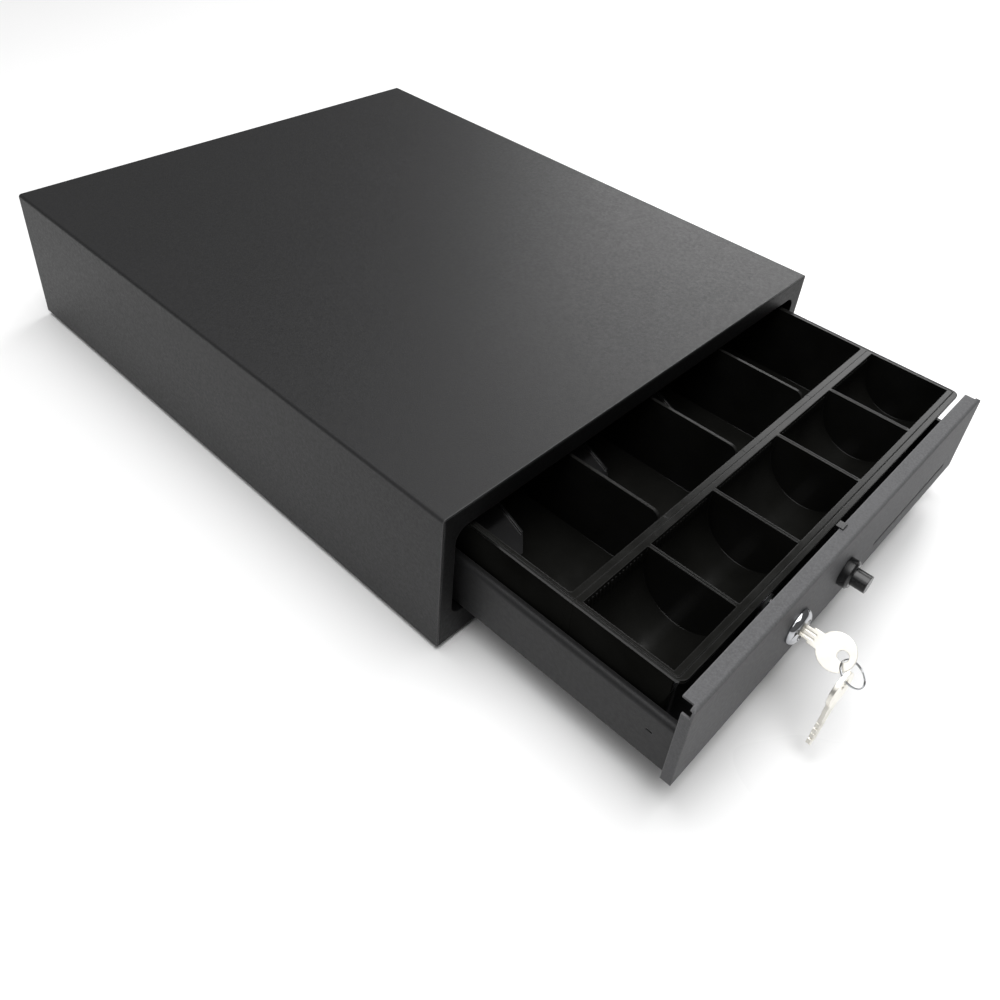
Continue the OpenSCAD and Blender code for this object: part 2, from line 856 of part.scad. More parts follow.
module till_bay_2() {
    till_bay(1);
}

module till_bay_3() {
    till_bay(2);
}

module till_bay_4() {
    till_bay(3);
}

// Pair of ears at the back of a bay, with the bore of the clip's pin
module clip_ears(x) {
    difference() {
        for (e = [clip_x0, clip_x0 + 22.6])
            block(x + e, x + e + 2.4, clip_y - 4, bay_y1 + 1, clip_z - 4, clip_z + 4);
        bar_x(x, x + bay_w, clip_y, clip_z, clip_pin_r + running);
    }
}
clip_x0 = 9;

// Pins of the four clips
module clip_pins() {
    color([0.7, 0.7, 0.72])
        for (i = [0 : bays - 1])
            bar_x(bay_x(i) + clip_x0 - 0.6, bay_x(i) + clip_x0 + 25.6, clip_y, clip_z, clip_pin_r);
}

// Arched arm of a clip in section, from the pin to the foot
module clip_arc(t) {
    dy = clip_l;
    dz = clip_z - clip_foot_z;
    chord = sqrt(dy * dy + dz * dz);
    drop = atan2(dz, dy);
    reach = sqrt(clip_bend * clip_bend - chord * chord / 4);
    mid_y = clip_y - dy / 2;
    mid_z = (clip_z + clip_foot_z) / 2;
    cy = mid_y + reach * sin(drop);
    cz = mid_z - reach * cos(drop);
    intersection() {
        difference() {
            translate([cy, cz])
                circle(clip_bend + t, $fn = 360);
            translate([cy, cz])
                circle(clip_bend, $fn = 360);
        }
        translate([clip_y - clip_l, bay_z])
            square([clip_l, 80]);
    }
}

// A bill clip: barrel on the pin, arched plate, side rib and a foot across the front
module bill_clip(i) {
    x0 = bay_x(i) + 4;
    x1 = x0 + clip_w;
    b0 = bay_x(i) + clip_x0 + 2.4 + loose;
    b1 = bay_x(i) + clip_x0 + 22.6 - loose;
    color([0.1, 0.1, 0.105])
        difference() {
            union() {
                bar_x(b0, b1, clip_y, clip_z, clip_r);
                intersection() {
                    along_x(x0, x1)
                        clip_arc(clip_t);
                    union() {
                        block(b0, b1, clip_y - clip_l, clip_y, 0, rim_z + 20);
                        block(x0, x1, clip_y - clip_l, clip_y - 6, 0, rim_z + 20);
                    }
                }
                intersection() {
                    union() {
                        along_x(x0, x0 + 1.4)
                            clip_arc(4.5);
                        along_x(x1 - 1.4, x1)
                            clip_arc(2.6);
                    }
                    block(x0, x1, clip_y - clip_l + 7, clip_y - 6, 0, rim_z + 20);
                }
                block(x0, x1 - 5, clip_y - clip_l, clip_y - clip_l + 1.6, clip_foot_z - 3, clip_foot_z + 1.2);
            }
            bar_x(x0, x1, clip_y, clip_z, clip_pin_r + running);
            translate([x1, clip_y - clip_l, 0])
                rotate([0, 0, 45])
                    block(-5, 5, -5, 5, 0, rim_z);
        }
}

module bill_clip_1() {
    bill_clip(0);
}

module bill_clip_2() {
    bill_clip(1);
}

module bill_clip_3() {
    bill_clip(2);
}

module bill_clip_4() {
    bill_clip(3);
}

// Small clip over the bezel's flange, with a tongue under the till's front rim
module till_tab() {
    color([0.05, 0.05, 0.05]) {
        block(-12.6, -7.7, bezel_y + bezel_flange - 2, till_y0 - loose, bezel_top, bezel_top + 0.8);
        block(-12.6, -7.7, bezel_y + bezel_flange + 0.1, till_y0 - loose, rim_z - rim_t - 2, bezel_top + tiny);
        block(-12.6, -7.7, bezel_y + bezel_flange + 0.1, till_y0 + 3, rim_z - rim_t - 2, rim_z - rim_t - 0.2);
    }
}

// Two folded strips on the tray's floor that carry the till
module till_rests() {
    color([0.15, 0.15, 0.16])
        for (s = [-1, 1]) {
            a = s * (till_in - 16);
            block(min(a, a + s * 10), max(a, a + s * 10), bay_y0 + 12, bay_y1 - 12, floor_z, floor_z + sheet);
            block(min(a, a + s * sheet), max(a, a + s * sheet), bay_y0 + 12, bay_y1 - 12, floor_z, bay_z - wall);
        }
}

// Lock body with the polished ring that stands proud of the bezel
module lock_barrel() {
    color([0.8, 0.8, 0.82])
        translate([-lock_x, bezel_y, lock_z])
            rotate([-90, 0, 0])
                difference() {
                    union() {
                        rotate_extrude() {
                            translate([0, -ring_t])
                                square([ring_r - dome_r, ring_t]);
                            intersection() {
                                translate([ring_r - dome_r, dome_r - ring_t])
                                    circle(dome_r);
                                translate([0, -ring_t])
                                    square([ring_r + 1, ring_t]);
                            }
                        }
                        translate([0, 0, -tiny])
                            cylinder(h = lock_l + tiny, r = lock_r);
                    }
                    translate([0, 0, -ring_t - 1])
                        cylinder(h = ring_t + lock_l + 2, r = plug_r + running);
                }
}

module lock_nut() {
    color([0.7, 0.7, 0.72])
        translate([-lock_x, bezel_back, lock_z])
            rotate([-90, 0, 0])
                difference() {
                    cylinder(h = 3, r = lock_r + 3.4, $fn = 6);
                    translate([0, 0, -1])
                        cylinder(h = 5, r = lock_r + running);
                }
}

// Cross-section of the keyway, turned to where the key stands
module keyway(w, h) {
    rotate([0, -key_turn, 0])
        translate([-h / 2, 0, -w / 2])
            children();
}

module lock_plug() {
    color([0.72, 0.72, 0.74])
        translate([-lock_x, 0, lock_z])
            difference() {
                bar_y(0, bezel_y - ring_t + 1, plug_end, 0, plug_r);
                keyway(keyway_w, keyway_h)
                    translate([0, bezel_y - ring_t, 0])
                        cube([keyway_h, ring_t + blade_l - 2, keyway_w]);
            }
}

// Cam on the back of the plug; its tip drops behind the front frame to lock the drawer
module lock_cam() {
    color([0.65, 0.65, 0.67])
        translate([-lock_x, plug_end, lock_z])
            rotate([0, -key_turn, 0])
                rotate([-90, 0, 0])
                    linear_extrude(cam_t) {
                        translate([-cam_l + cam_w / 2, -cam_w / 2])
                            square([cam_l - cam_w / 2, cam_w]);
                        translate([-cam_l + cam_w / 2, 0])
                            circle(cam_w / 2);
                        circle(cam_w / 2 + 1.5);
                    }
}

module cam_screw() {
    color([0.6, 0.6, 0.62])
        bar_y(-lock_x, plug_end + cam_t, plug_end + cam_t + 1.8, lock_z, 3.5);
}

// A flat key in its own frame: bow at the origin, blade along +X, thickness along Z
module key_shape(reach) {
    difference() {
        union() {
            cylinder(h = key_t, r = bow_r, center = true);
            translate([0, -4.2, -key_t / 2])
                cube([bow_r + 4, 8.4, key_t]);
            translate([0, -blade_h / 2, -key_t / 2])
                cube([reach - 2, blade_h, key_t]);
            translate([reach - blade_h / 2 - 0.2, 0, -key_t / 2])
                rotate([0, 0, 45])
                    translate([-blade_h / 2 / sqrt(2), -blade_h / 2 / sqrt(2), 0])
                        cube([blade_h / sqrt(2), blade_h / sqrt(2), key_t]);
        }
        translate([-hole_off, 0, -key_t])
            cylinder(h = 2 * key_t, r = hole_r);
        for (i = [0 : 3])
            translate([reach - 5 - 3 * i, -blade_h / 2 - 0.4 + 0.3 * (i % 2), -key_t])
                rotate([0, 0, 45])
                    cube([1.6, 1.6, 2 * key_t], center = false);
        for (y = [-1.7, 0.9])
            translate([bow_r + 1.5, y, key_t / 2 - 0.4])
                cube([reach - bow_r - 6, 0.8, key_t]);
    }
}

module key() {
    color([0.8, 0.79, 0.76])
        translate([-lock_x, bow_y, lock_z])
            rotate([0, -key_turn, 0])
                rotate([0, 0, 90])
                    key_shape(-(bow_y - bezel_y) + blade_l - 3);
}

module key_ring() {
    color([0.7, 0.7, 0.7])
        translate(loop_c)
            rotate([0, acos(loop_axis[2]), atan2(loop_axis[1], loop_axis[0])])
                rotate_extrude()
                    translate([loop_r, 0])
                        circle(wire_r, $fn = 24);
}

module spare_key() {
    color([0.8, 0.79, 0.76])
        translate(spare_hole)
            rotate([0, 90 + spare_tilt, 0])
                rotate([spare_twist, 0, 0])
                    translate([hole_off, 0, 0])
                        key_shape(spare_l - hole_off);
}

// Collar and body of the push button
module button_collar() {
    color([0.05, 0.05, 0.05])
        difference() {
            union() {
                bar_y(-button_x, bezel_y - collar_out + 1.2, bezel_y, button_z, collar_r);
                translate([-button_x, bezel_y - collar_out + 1.2, button_z])
                    rotate([90, 0, 0])
                        cylinder(h = 1.2, r1 = collar_r, r2 = collar_r - 1.2);
                bar_y(-button_x, bezel_y - tiny, bezel_y + button_body, button_z, collar_r - 1.1);
            }
            bar_y(-button_x, bezel_y - collar_out - 1, bezel_y + button_body - 1.5, button_z,
                button_r + running);
        }
}

module button_nut() {
    color([0.1, 0.1, 0.1])
        difference() {
            translate([-button_x, bezel_back, button_z])
                rotate([-90, 0, 0])
                    cylinder(h = 2.5, r = collar_r + 1.6, $fn = 6);
            bar_y(-button_x, bezel_y, bezel_y + 8, button_z, collar_r - 1.1 + running);
        }
}

module button_plunger() {
    color([0.05, 0.05, 0.05])
        bar_y(-button_x, bezel_y - button_out, bezel_y + button_body - 6.5, button_z, button_r);
}

top_cover();
base_pan();
front_frame();
rear_panel();
left_rail();
right_rail();
front_axles();
front_roller_left();
front_roller_right();
feet();
cover_screws();
rail_rivets();
latch_bracket();
bracket_screws();
latch_pin();
latch_spacer();
latch_spring();
latch_hook();
solenoid_frame();
solenoid_coil();
solenoid_plunger();
ejector_tube();
ejector_plunger();
drawer_switch();
port_socket();
drawer_tray();
bezel();
bezel_screws();
till_coins();
till_bay_1();
till_bay_2();
till_bay_3();
till_bay_4();
till_rests();
till_tab();
lock_barrel();
lock_nut();
lock_plug();
lock_cam();
cam_screw();
key();
key_ring();
spare_key();
button_collar();
button_nut();
button_plunger();
latch_striker();
drawer_axles();
rear_roller_left();
rear_roller_right();
clip_pins();
bill_clip_1();
bill_clip_2();
bill_clip_3();
bill_clip_4();
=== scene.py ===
import json
import math

import bmesh
import bpy
from mathutils import Matrix, Vector


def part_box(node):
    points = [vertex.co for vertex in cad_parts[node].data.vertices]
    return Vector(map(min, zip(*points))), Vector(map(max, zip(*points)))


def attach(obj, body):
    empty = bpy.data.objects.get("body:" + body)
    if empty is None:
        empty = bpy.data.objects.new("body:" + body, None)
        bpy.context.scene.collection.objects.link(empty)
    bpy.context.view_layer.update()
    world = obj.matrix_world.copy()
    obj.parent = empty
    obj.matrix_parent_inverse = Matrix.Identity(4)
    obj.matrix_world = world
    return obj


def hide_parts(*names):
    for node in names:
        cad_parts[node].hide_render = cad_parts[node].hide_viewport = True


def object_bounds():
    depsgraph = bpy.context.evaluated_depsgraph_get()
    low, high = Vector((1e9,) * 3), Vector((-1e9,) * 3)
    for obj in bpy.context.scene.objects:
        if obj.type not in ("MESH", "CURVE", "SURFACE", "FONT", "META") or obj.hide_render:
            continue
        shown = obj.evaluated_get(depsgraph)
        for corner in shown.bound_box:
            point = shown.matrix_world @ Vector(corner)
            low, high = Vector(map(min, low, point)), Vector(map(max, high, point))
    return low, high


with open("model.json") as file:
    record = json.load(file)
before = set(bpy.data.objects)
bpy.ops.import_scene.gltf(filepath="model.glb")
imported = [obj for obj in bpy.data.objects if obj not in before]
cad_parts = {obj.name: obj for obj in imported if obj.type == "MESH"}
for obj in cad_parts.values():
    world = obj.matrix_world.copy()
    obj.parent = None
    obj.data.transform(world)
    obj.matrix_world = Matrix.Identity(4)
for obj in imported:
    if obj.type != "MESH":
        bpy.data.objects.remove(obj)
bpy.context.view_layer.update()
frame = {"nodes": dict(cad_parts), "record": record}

# All lengths are in metres, in the part's own frame
nodes = frame["nodes"]
scene = bpy.context.scene


# ---------------------------------------------------------------- camera
CAMERA_PLACE = (-0.37895, -0.40668, 0.39804)
CAMERA_RIGHT = (0.67507, -0.73291, 0.08440)
CAMERA_BACK = (-0.61495, -0.49581, 0.61320)
CAMERA_SHIFT = (-0.0176, -0.1098)
SENSOR_MM = 36.0
LENS_MM = 34.245
NEAREST, FARTHEST = 0.02, 30


def add_camera():
    """The photograph's camera; its upright side is squared to its right and back."""
    data = bpy.data.cameras.new("camera")
    data.sensor_width = SENSOR_MM
    data.lens = LENS_MM
    data.shift_x, data.shift_y = CAMERA_SHIFT
    data.clip_start, data.clip_end = NEAREST, FARTHEST
    cam = bpy.data.objects.new("camera", data)
    right = Vector(CAMERA_RIGHT).normalized()
    back = Vector(CAMERA_BACK).normalized()
    up = back.cross(right).normalized()
    right = up.cross(back).normalized()
    place = Matrix((right, up, back)).transposed().to_4x4()
    place.translation = Vector(CAMERA_PLACE)
    cam.matrix_world = place
    scene.collection.objects.link(cam)
    scene.camera = cam


add_camera()


# ---------------------------------------------------------------- materials
HIGHLIGHT_SAMPLES = 4   # of the bevel node that finds the edges painted paler as a highlight
ROUND_SAMPLES = 6  # of the bevel node that softens sharp edges


def tint(color, gain=1.0, lift=0.0):
    """The colour made brighter or darker, and no brighter than white."""
    return tuple(min(1, x * gain + lift) for x in color)


class Mat:
    """A node material built step by step round one Principled shader."""

    def __init__(self, name, color, rough, metal=0.0, **sockets):
        self.material = bpy.data.materials.new(name)
        self.material.use_nodes = True
        self.tree = self.material.node_tree
        self.shader = self.tree.nodes["Principled BSDF"]
        self.shader.inputs["Base Color"].default_value = (*color, 1)
        self.shader.inputs["Roughness"].default_value = rough
        self.shader.inputs["Metallic"].default_value = metal
        for key, value in sockets.items():
            self.shader.inputs[key.replace("_", " ")].default_value = value
        self.coord = self.node("ShaderNodeTexCoord").outputs["Object"]
        self.normal = None

    def node(self, kind, **props):
        node = self.tree.nodes.new(kind)
        for key, value in props.items():
            setattr(node, key, value)
        return node

    def link(self, a, b):
        self.tree.links.new(a, b)

    def calc(self, operation, *args):
        """One Math node on plain numbers and other nodes' outputs."""
        node = self.node("ShaderNodeMath", operation=operation)
        for socket, value in zip(node.inputs, args):
            if isinstance(value, float):
                socket.default_value = value
            else:
                self.link(value, socket)
        return node.outputs[0]

    def place(self):
        """The point's object coordinates, one output each."""
        split = self.node("ShaderNodeSeparateXYZ")
        self.link(self.coord, split.inputs[0])
        return split.outputs

    def noise(self, scale, detail=4.0, rough=0.55, stretch=None):
        coord = self.coord
        if stretch:
            mapping = self.node("ShaderNodeMapping")
            mapping.inputs["Scale"].default_value = stretch
            self.link(coord, mapping.inputs["Vector"])
            coord = mapping.outputs["Vector"]
        tex = self.node("ShaderNodeTexNoise")
        tex.inputs["Scale"].default_value = scale
        tex.inputs["Detail"].default_value = detail
        tex.inputs["Roughness"].default_value = rough
        self.link(coord, tex.inputs["Vector"])
        return tex.outputs["Fac"]

    def ramp(self, value, *stops):
        """A colour ramp through the stops, each a position and a grey value."""
        ramp = self.node("ShaderNodeValToRGB")
        elements = ramp.color_ramp.elements
        for element, (position, grey) in zip(elements, stops):
            element.position = position
            element.color = (grey, grey, grey, 1)
        self.link(value, ramp.inputs["Fac"])
        return ramp.outputs["Color"]

    def mix(self, fac, a, b):
        """From a to b by fac; a colour is a tuple, or another node's output."""
        mixer = self.node("ShaderNodeMix", data_type="RGBA", blend_type="MIX")
        self.link(fac, mixer.inputs["Factor"])
        for socket, value in ((mixer.inputs["A"], a), (mixer.inputs["B"], b)):
            if isinstance(value, tuple):
                socket.default_value = (*value, 1)
            else:
                self.link(value, socket)
        return mixer.outputs["Result"]

    def painted_edge_mask(self, radius, low, high, above=None):
        """Where the painted highlight goes: 1 on edges, 0 on flats; only above a height if
        one is given.
        """
        bevel = self.node("ShaderNodeBevel", samples=HIGHLIGHT_SAMPLES)
        bevel.inputs["Radius"].default_value = radius
        geometry = self.node("ShaderNodeNewGeometry")
        turned = self.node("ShaderNodeVectorMath", operation="DOT_PRODUCT")
        self.link(bevel.outputs["Normal"], turned.inputs[0])
        self.link(geometry.outputs["Normal"], turned.inputs[1])
        span = self.node("ShaderNodeMapRange")
        span.inputs["From Min"].default_value = high
        span.inputs["From Max"].default_value = low
        self.link(turned.outputs["Value"], span.inputs["Value"])
        if above is None:
            return span.outputs["Result"]
        over = self.calc("GREATER_THAN", self.place()["Z"], above)
        return self.calc("MULTIPLY", span.outputs["Result"], over)

    def bump(self, value, strength, distance):
        """Bumps on top of the softened edges."""
        bump = self.node("ShaderNodeBump")
        bump.inputs["Strength"].default_value = strength
        bump.inputs["Distance"].default_value = distance
        self.link(value, bump.inputs["Height"])
        self.link(self.normal, bump.inputs["Normal"])
        self.normal = bump.outputs["Normal"]
        self.link(self.normal, self.shader.inputs["Normal"])

    def rounded(self, radius):
        """Softens the shading of sharp edges by a small radius."""
        bevel = self.node("ShaderNodeBevel", samples=ROUND_SAMPLES)
        bevel.inputs["Radius"].default_value = radius
        self.normal = bevel.outputs["Normal"]
        self.link(self.normal, self.shader.inputs["Normal"])

    def color(self, out):
        self.link(out, self.shader.inputs["Base Color"])

    def rough(self, out):
        self.link(out, self.shader.inputs["Roughness"])


# Edge radii and grain depths in metres
# The second width on each line is that of the edges painted paler as a highlight
COAT_ROUND, COAT_HIGHLIGHT_WIDTH, COAT_GRAIN_DEPTH = 0.0009, 0.0012, 0.00022
MOULDED_ROUND, MOULDED_HIGHLIGHT_WIDTH, MOULDED_GRAIN_DEPTH = 0.0007, 0.0008, 0.0001
METAL_ROUND, METAL_STREAK_DEPTH = 0.0004, 0.00006
# Noise scales: clouds vary the colour, smears and streaks the roughness
COAT_CLOUD, MOULDED_CLOUD, METAL_CLOUD = 14, 35, 120
MOULDED_SMEAR, METAL_STREAK = 60, 500
MOULDED_COAT_ROUGH = 0.12
SMOOTHEST = 0.02   # least roughness


def powder(name, color, rough=0.46, grain=900, highlight_lift=0.10, bump=0.35, spec=0.35):
    """Fine textured powder coat: small bright specks, soft bumps, and edges painted paler
    as a highlight.
    """
    m = Mat(name, color, rough, Specular_IOR_Level=spec)
    m.rounded(COAT_ROUND)
    speck = m.noise(grain, detail=5, rough=0.7)
    cloud = m.noise(COAT_CLOUD, detail=3, rough=0.5)
    patch = m.noise(grain * 0.5, detail=4, rough=0.6)
    painted_edge = m.painted_edge_mask(COAT_HIGHLIGHT_WIDTH, low=0.80, high=0.97)
    base = m.mix(m.ramp(speck, (0.35, 0.0), (0.7, 1.0)),
                 tint(color, 0.82), tint(color, 1.25))
    base = m.mix(m.ramp(cloud, (0.3, 0.0), (0.75, 0.35)), base, tint(color, 1.12))
    # Edges painted paler: a painted highlight
    base = m.mix(m.ramp(painted_edge, (0.0, 0.0), (1.0, 0.45)), base, tint(color, lift=highlight_lift))
    m.color(base)
    m.rough(m.ramp(patch, (0.3, rough - 0.06), (0.75, rough + 0.10)))
    m.bump(speck, bump, COAT_GRAIN_DEPTH)
    return m


def plastic(name, color, rough=0.4, grain=1400, bump=0.12, coat=0.0, spec=0.5,
            highlight_lift=0.03, above=None):
    """Moulded plastic: a fine grain, a faint cloud, and edges above a height painted paler
    as a highlight.
    """
    m = Mat(name, color, rough, Specular_IOR_Level=spec, Coat_Weight=coat,
            Coat_Roughness=MOULDED_COAT_ROUGH)
    m.rounded(MOULDED_ROUND)
    fine = m.noise(grain, detail=3, rough=0.6)
    cloud = m.noise(MOULDED_CLOUD, detail=3, rough=0.5)
    smear = m.noise(MOULDED_SMEAR, detail=4, rough=0.6)
    painted_edge = m.painted_edge_mask(MOULDED_HIGHLIGHT_WIDTH, low=0.80, high=0.98, above=above)
    base = m.mix(m.ramp(cloud, (0.3, 0.0), (0.8, 1.0)),
                 tint(color, 0.9), tint(color, 1.15, 0.003))
    # Edges painted paler: a painted highlight
    base = m.mix(m.ramp(painted_edge, (0.0, 0.0), (1.0, 0.5)), base, tint(color, lift=highlight_lift))
    m.color(base)
    m.rough(m.ramp(smear, (0.3, max(SMOOTHEST, rough - 0.07)), (0.75, rough + 0.07)))
    m.bump(fine, bump, MOULDED_GRAIN_DEPTH)
    return m


def metal(name, color, rough=0.25, brush=(1, 1, 1), scratch=0.05, bump=0.05):
    """Bare metal with fine streaks, drawn out where brush gives a direction."""
    m = Mat(name, color, rough, metal=1.0)
    m.rounded(METAL_ROUND)
    streak = m.noise(METAL_STREAK, detail=4, rough=0.6, stretch=brush)
    cloud = m.noise(METAL_CLOUD, detail=3, rough=0.5)
    m.color(m.mix(m.ramp(cloud, (0.3, 0.0), (0.8, 1.0)),
                  tint(color, 0.88), tint(color, 1.06)))
    m.rough(m.ramp(streak, (0.3, max(SMOOTHEST, rough - scratch)), (0.75, rough + scratch)))
    m.bump(streak, bump, METAL_STREAK_DEPTH)
    return m


TILL_GLOSS = {"Specular IOR Level": 0.25, "Coat Weight": 0.12}
RIM_HEIGHT = 0.0017   # over the top of the matt wall
RIM_DULLING = 0.6


def matte_outside(m, wall_x, top_z):
    """The moulding's outer side walls are matt, beyond wall_x and below top_z, and its
    rim is satin."""
    place = m.place()
    x, z = place["X"], place["Z"]
    outside = m.calc("MULTIPLY", m.calc("GREATER_THAN", m.calc("ABSOLUTE", x), wall_x),
                     m.calc("LESS_THAN", z, top_z))
    rim = m.calc("MULTIPLY", m.calc("GREATER_THAN", z, top_z + RIM_HEIGHT), RIM_DULLING)
    shine = m.calc("SUBTRACT", m.calc("SUBTRACT", 1.0, outside), rim)
    for name, gloss in TILL_GLOSS.items():
        m.link(m.calc("MULTIPLY", shine, gloss), m.shader.inputs[name])
    return m


till_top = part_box("till_coins")[1]   # the right rear upper corner of the till's coin part
TILL_HIGHLIGHT_BAND = 0.004               # the rim and the dividers' tops, whose edges get the painted highlight
TILL_WALL_IN, TILL_WALL_DOWN = 0.0022, 0.0021

# Each material's lift of its edges is a painted highlight
M = {key: m.material for key, m in {
    "cover": powder("cover_coat", (0.016, 0.016, 0.0165), rough=0.46, grain=1100,
                    highlight_lift=0.16, bump=0.4, spec=0.24),
    # The frame's coat is darker than the cover's: painted shade for its low front band,
    # which sits in shade
    "frame": powder("frame_coat", (0.004, 0.004, 0.0042), rough=0.50, highlight_lift=0.03,
                    spec=0.2),
    "tray": powder("tray_coat", (0.015, 0.015, 0.0155), rough=0.44, highlight_lift=0.06,
                   spec=0.22),
    "bezel": powder("bezel_coat", (0.095, 0.095, 0.098), rough=0.50, highlight_lift=0.16,
                    bump=0.25, spec=0.08),
    "till": matte_outside(
        plastic("till_moulding", (0.0050, 0.0050, 0.0044), rough=0.20, bump=0.03,
                coat=0.2, highlight_lift=0.035, spec=0.25, above=till_top.z - TILL_HIGHLIGHT_BAND),
        till_top.x - TILL_WALL_IN, till_top.z - TILL_WALL_DOWN),
    "clip": plastic("clip_moulding", (0.008, 0.008, 0.0085), rough=0.18, bump=0.08,
                    coat=0.3, highlight_lift=0.08),
    "button": plastic("button_moulding", (0.005, 0.005, 0.0055), rough=0.26),
    "white": plastic("acetal", (0.72, 0.72, 0.69), rough=0.4, highlight_lift=0.0),
    "rubber": plastic("foot_rubber", (0.012, 0.012, 0.012), rough=0.75, bump=0.3,
                      spec=0.3),
    "zinc": metal("zinc_plate", (0.62, 0.64, 0.66), rough=0.34, brush=(1, 0.05, 1),
                  scratch=0.08),
    "chrome": metal("polished_chrome", (0.52, 0.53, 0.55), rough=0.06, scratch=0.02,
                    bump=0.02),
    "nickel": metal("nickel_silver", (0.95, 0.92, 0.85), rough=0.36,
                    brush=(0.08, 1, 1), bump=0.02),
    "copper": metal("enamelled_wire", (0.75, 0.36, 0.14), rough=0.3,
                    brush=(1, 8, 1), bump=0.3),
}.items()}

# The nodes of each material; every other node is zinc-plated steel
USED_ON = {
    "cover": ("top_cover", "rear_panel"),
    "frame": ("base_pan", "front_frame"),
    "tray": ("drawer_tray", "till_rests"),
    "bezel": ("bezel",),
    "till": ("till_coins", "till_bay_1", "till_bay_2", "till_bay_3", "till_bay_4"),
    "clip": ("bill_clip_1", "bill_clip_2", "bill_clip_3", "bill_clip_4"),
    "button": ("till_tab", "drawer_switch", "port_socket", "button_collar",
               "button_nut", "button_plunger"),
    "white": ("ejector_plunger", "latch_spacer", "front_roller_left",
              "front_roller_right", "rear_roller_left", "rear_roller_right"),
    "rubber": ("feet",),
    "chrome": ("lock_barrel", "key_ring"),
    "nickel": ("lock_plug", "key", "spare_key"),
    "copper": ("solenoid_coil",),
}
material_of = {name: key for key, names in USED_ON.items() for name in names}
for name, ob in nodes.items():
    mat = M[material_of.get(name, "zinc")]
    if not ob.material_slots:
        ob.data.materials.append(mat)
    for slot in ob.material_slots:
        slot.material = mat


# ---------------------------------------------------------------- pieces of round wire
def wire_piece(name, points, wire, roundness, material):
    """A wire of the given thickness through the points, with closed ends."""
    curve = bpy.data.curves.new(name, "CURVE")
    curve.dimensions = "3D"
    curve.bevel_depth = wire / 2
    curve.bevel_resolution = roundness
    curve.use_fill_caps = True
    spline = curve.splines.new("POLY")
    spline.points.add(len(points) - 1)
    for point, place in zip(spline.points, points):
        point.co = (*place, 1)
    ob = bpy.data.objects.new(name + "_wire", curve)
    scene.collection.objects.link(ob)
    curve.materials.append(material)
    return ob


RING_WIRE = 0.0006
RING_STEPS = 144        # in both turns together
RING_CROSSING = 0.42    # where the wire starts to cross from one turn to the other
RING_CROSSING_SPAN = 0.16


def split_ring():
    """Two turns of round wire side by side, where the CAD ring is one thick turn."""
    verts = [v.co.copy() for v in nodes["key_ring"].data.vertices]
    lo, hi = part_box("key_ring")
    mid = (lo + hi) / 2
    far = max(verts, key=lambda p: (p - mid).length)
    u = (far - mid).normalized()
    side = max(verts, key=lambda p: (p - mid).cross(u).length)
    axis = u.cross(side - mid).normalized()
    v = axis.cross(u)
    radius = (far - mid).length - RING_WIRE
    points = []
    for i in range(RING_STEPS + 1):
        a = 4 * math.pi * i / RING_STEPS
        step = (i / RING_STEPS - RING_CROSSING) / RING_CROSSING_SPAN
        step = max(0.0, min(1.0, step))
        step = step * step * (3 - 2 * step)
        off = (step * 2 - 1) * RING_WIRE / 2
        points.append(mid + (u * math.cos(a) + v * math.sin(a)) * radius + axis * off)
    ob = wire_piece("split_ring", points, RING_WIRE, roundness=4, material=M["chrome"])
    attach(ob, "split_ring")
    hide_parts("key_ring")


SPRING_WIRE = 0.0011
SPRING_PITCH = 1.12      # in wire thicknesses
SPRING_TURN_STEPS = 28


def latch_spring():
    """Close coils of round wire, where the CAD spring is a plain sleeve."""
    lo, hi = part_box("latch_spring")
    mid = (lo + hi) / 2
    radius = (hi.x - lo.x) / 2 - SPRING_WIRE / 2
    length = hi.z - lo.z - SPRING_WIRE
    turns = length / (SPRING_WIRE * SPRING_PITCH)
    steps = int(turns * SPRING_TURN_STEPS)
    points = []
    for i in range(steps + 1):
        a = 2 * math.pi * turns * i / steps
        z = lo.z + SPRING_WIRE / 2 + length * i / steps
        points.append((mid.x + radius * math.cos(a), mid.y + radius * math.sin(a), z))
    ob = wire_piece("latch_spring", points, SPRING_WIRE, roundness=3, material=M["zinc"])
    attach(ob, "housing")
    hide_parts("latch_spring")


# ---------------------------------------------------------------- ribs in the coin cups
RIB_PITCH, RIB_WIDTH, RIB_HEIGHT = 0.0028, 0.0010, 0.00035
RIB_ROOT = 0.0003          # how far a rib reaches into the wall
RIB_FOOT = 0.0155          # over the floor of the cup's opening box
CUP_DEPTH = 0.049          # front to rear
CUP_SIDE_GAP = 0.0020      # from an opening box to the cup's side walls
CUP_CORNERS = 0.006        # both rounded corners together, left plain
RIM_TO_RIB = 0.0022        # from the rim's top down to a rib's


def box_mesh(bm, lo, hi):
    """Adds a box from its lowest corner to its highest."""
    made = bmesh.ops.create_cube(bm, size=1)["verts"]
    mid = [(a + b) / 2 for a, b in zip(lo, hi)]
    for v in made:
        v.co = Vector([m + c * (b - a) for m, c, a, b in zip(mid, v.co, lo, hi)])


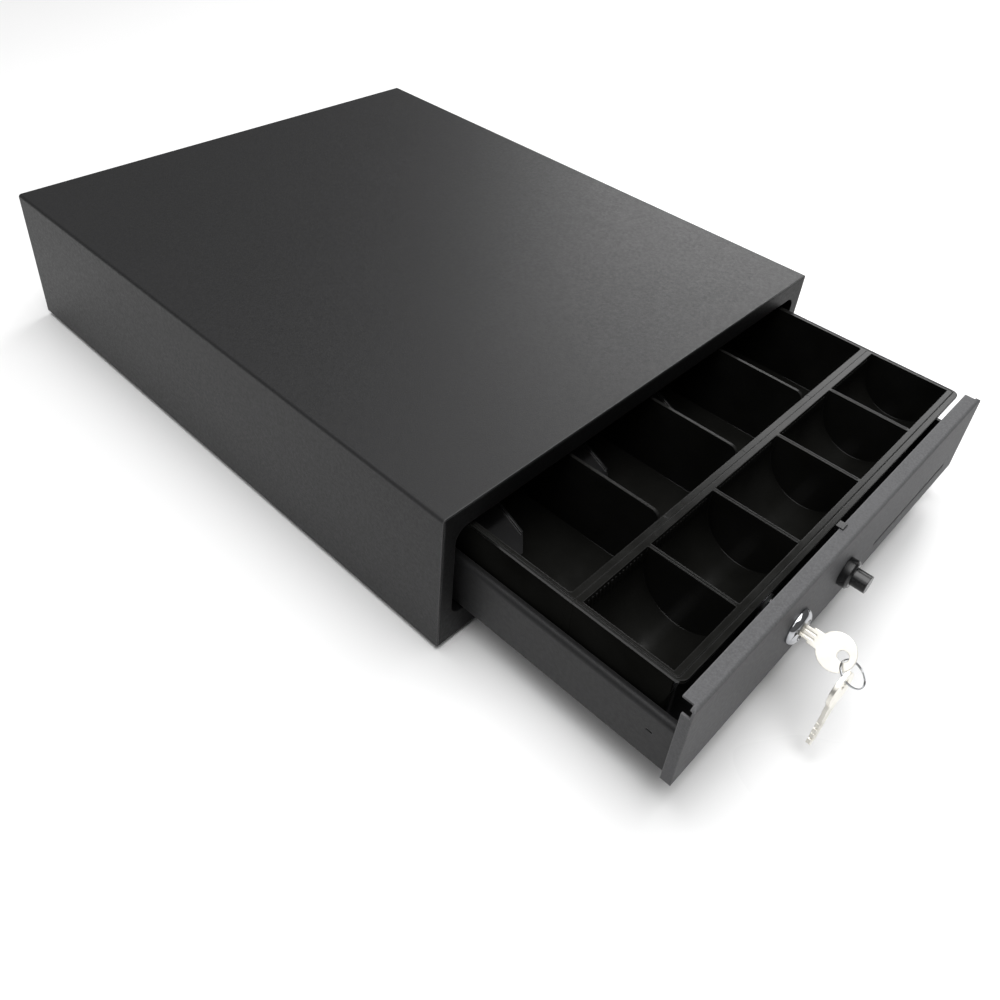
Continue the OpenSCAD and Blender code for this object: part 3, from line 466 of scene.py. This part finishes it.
def cup_ribs():
    """Fine upright ribs on the rear wall of each coin cup, as the moulding has."""
    rib_top = till_top.z - RIM_TO_RIB
    bm = bmesh.new()
    for opening in frame["record"]["physics"]["openings"]:
        if not opening["name"].startswith("coin_cup"):
            continue
        (x0, y0, z0), (x1, y1, _) = opening["box_m"]
        x0, x1 = x0 - CUP_SIDE_GAP, x1 + CUP_SIDE_GAP
        rear = (y0 + y1) / 2 + CUP_DEPTH / 2
        count = int((x1 - x0 - CUP_CORNERS) / RIB_PITCH)
        start = (x0 + x1) / 2 - (count - 1) * RIB_PITCH / 2
        for i in range(count):
            x = start + i * RIB_PITCH
            box_mesh(bm, (x - RIB_WIDTH / 2, rear - RIB_HEIGHT, z0 + RIB_FOOT),
                     (x + RIB_WIDTH / 2, rear + RIB_ROOT, rib_top))
    me = bpy.data.meshes.new("cup_ribs")
    bm.to_mesh(me)
    bm.free()
    me.materials.append(M["till"])
    ob = bpy.data.objects.new("cup_ribs", me)
    scene.collection.objects.link(ob)
    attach(ob, "drawer")


split_ring()
cup_ribs()
latch_spring()


# ---------------------------------------------------------------- floor and light
FLOOR_HALF = 6
FLOOR_DROP = 0.0002        # under the feet
WORLD_STRENGTH = 0.14
KEY_CARD_OFFSET = Vector((-0.80, 0.10, 0.74))


def add_stage():
    """A pale, slightly glossy floor."""
    lo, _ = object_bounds()
    bm = bmesh.new()
    bmesh.ops.create_grid(bm, x_segments=2, y_segments=2, size=FLOOR_HALF)
    me = bpy.data.meshes.new("floor")
    bm.to_mesh(me)
    bm.free()
    ob = bpy.data.objects.new("floor", me)
    ob.location = (0, 0, lo[2] - FLOOR_DROP)
    card = Mat("floor_card", (0.86, 0.86, 0.86), 0.30, Specular_IOR_Level=0.35)
    gloss = card.noise(3, detail=3, rough=0.5)
    card.rough(card.ramp(gloss, (0.3, 0.26), (0.8, 0.36)))
    me.materials.append(card.material)
    scene.collection.objects.link(ob)


def area(name, place, target, width, height, power):
    """A white area light that faces its target, with its power in watts."""
    light = bpy.data.lights.new(name, "AREA")
    light.energy = power
    light.shape = "RECTANGLE"
    light.size = width
    light.size_y = height
    ob = bpy.data.objects.new(name, light)
    ob.location = place
    ob.rotation_euler = (Vector(target) - Vector(place)).to_track_quat("-Z", "Y").to_euler()
    scene.collection.objects.link(ob)


def add_world():
    world = bpy.data.worlds.new("studio")
    world.use_nodes = True
    background = world.node_tree.nodes["Background"]
    background.inputs["Color"].default_value = (1, 1, 1, 1)
    background.inputs["Strength"].default_value = WORLD_STRENGTH
    scene.world = world


add_stage()
add_world()
scene.view_settings.view_transform = "Standard"
area("overhead", place=(-0.1, -0.25, 2.2), target=(-0.05, -0.2, 0),
     width=2.2, height=2.2, power=70)
area("right_softbox", place=(1.60, 0.42, 0.98), target=(0.05, -0.05, 0.09),
     width=1.2, height=0.9, power=19)
# Small bright card that the key's bow mirrors
key_lo, key_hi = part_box("key")
key_mid = (key_lo + key_hi) / 2
area("key_card", place=key_mid + KEY_CARD_OFFSET, target=key_mid,
     width=0.5, height=0.5, power=1.15)
